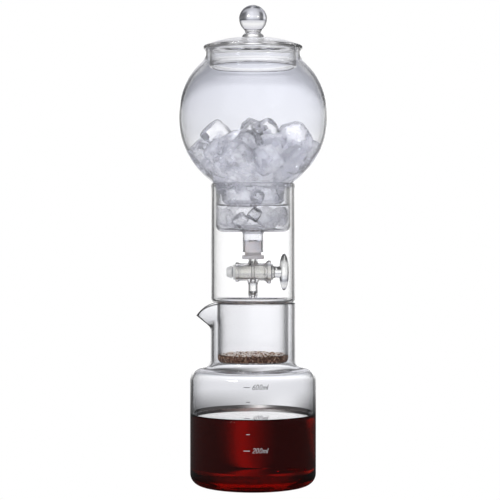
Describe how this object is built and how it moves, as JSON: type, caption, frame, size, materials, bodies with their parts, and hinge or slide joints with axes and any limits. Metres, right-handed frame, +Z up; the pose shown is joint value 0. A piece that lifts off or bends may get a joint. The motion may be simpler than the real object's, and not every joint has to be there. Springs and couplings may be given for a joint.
{
  "type": "cold drip coffee tower",
  "caption": "Glass cold drip coffee tower: lidded ice globe with a stopcock, brew column with filter cup, and graduated carafe with a spout.",
  "frame": {"origin": "centre of the carafe's base, on the surface it stands on", "axes": "+Z up along the axis all the vessels are turned about; the pouring spout points along -X and the stopcock's handle along +X"},
  "size_m": [0.1236, 0.1236, 0.3961],
  "materials": {
    "clear_glass": "clear borosilicate, fire-polished edges",
    "silicone": "translucent grey silicone, satin",
    "seal_plastic": "translucent pale plastic, satin",
    "steel_mesh": "fine woven stainless mesh",
    "scale_print": "fired white-grey enamel print",
    "ice": "wet ice, cloudy core",
    "coffee_grounds": "coarse ground coffee, moist",
    "brewed_coffee": "dark clear coffee, red where light passes"
  },
  "bodies": {
    "carafe": {"carafe_base": "clear_glass", "carafe_wall": "clear_glass", "carafe_shoulder": "clear_glass", "carafe_neck": "clear_glass", "graduation_marks": "scale_print"},
    "column": {"column_wall": "clear_glass", "column_shoulder": "clear_glass", "filter_cup_wall": "clear_glass", "filter_cup_floor": "clear_glass"},
    "filter": {"filter_mesh": "steel_mesh", "filter_rim": "steel_mesh"},
    "globe": {"globe_neck": "clear_glass", "globe_seat": "clear_glass", "globe_cup_wall": "clear_glass", "globe_cup_floor": "clear_glass", "globe_outlet": "clear_glass", "silicone_stopper": "silicone", "valve_barrel": "clear_glass", "valve_inlet_tube": "clear_glass", "valve_drip_tube": "clear_glass"},
    "valve_key": {"valve_key": "clear_glass", "valve_handle": "clear_glass", "key_washer": "seal_plastic", "key_o_ring": "silicone", "key_retaining_cap": "seal_plastic"},
    "lid": {"lid_plate": "clear_glass", "lid_skirt": "clear_glass", "lid_knob": "clear_glass"}
  },
  "joints": [
    {"name": "column_lift", "type": "slide", "parent": "carafe", "child": "column", "axis": [0, 0, 1], "range_m": [0, 0.06]},
    {"name": "filter_lift", "type": "slide", "parent": "column", "child": "filter", "axis": [0, 0, 1], "range_m": [0, 0.04]},
    {"name": "globe_lift", "type": "slide", "parent": "column", "child": "globe", "axis": [0, 0, 1], "range_m": [0, 0.11]},
    {"name": "key_turn", "type": "hinge", "parent": "globe", "child": "valve_key", "pos_m": [0, 0, 0.1758], "axis": [1, 0, 0], "continuous": true},
    {"name": "lid_lift", "type": "slide", "parent": "globe", "child": "lid", "axis": [0, 0, 1], "range_m": [0, 0.04]}
  ]
}
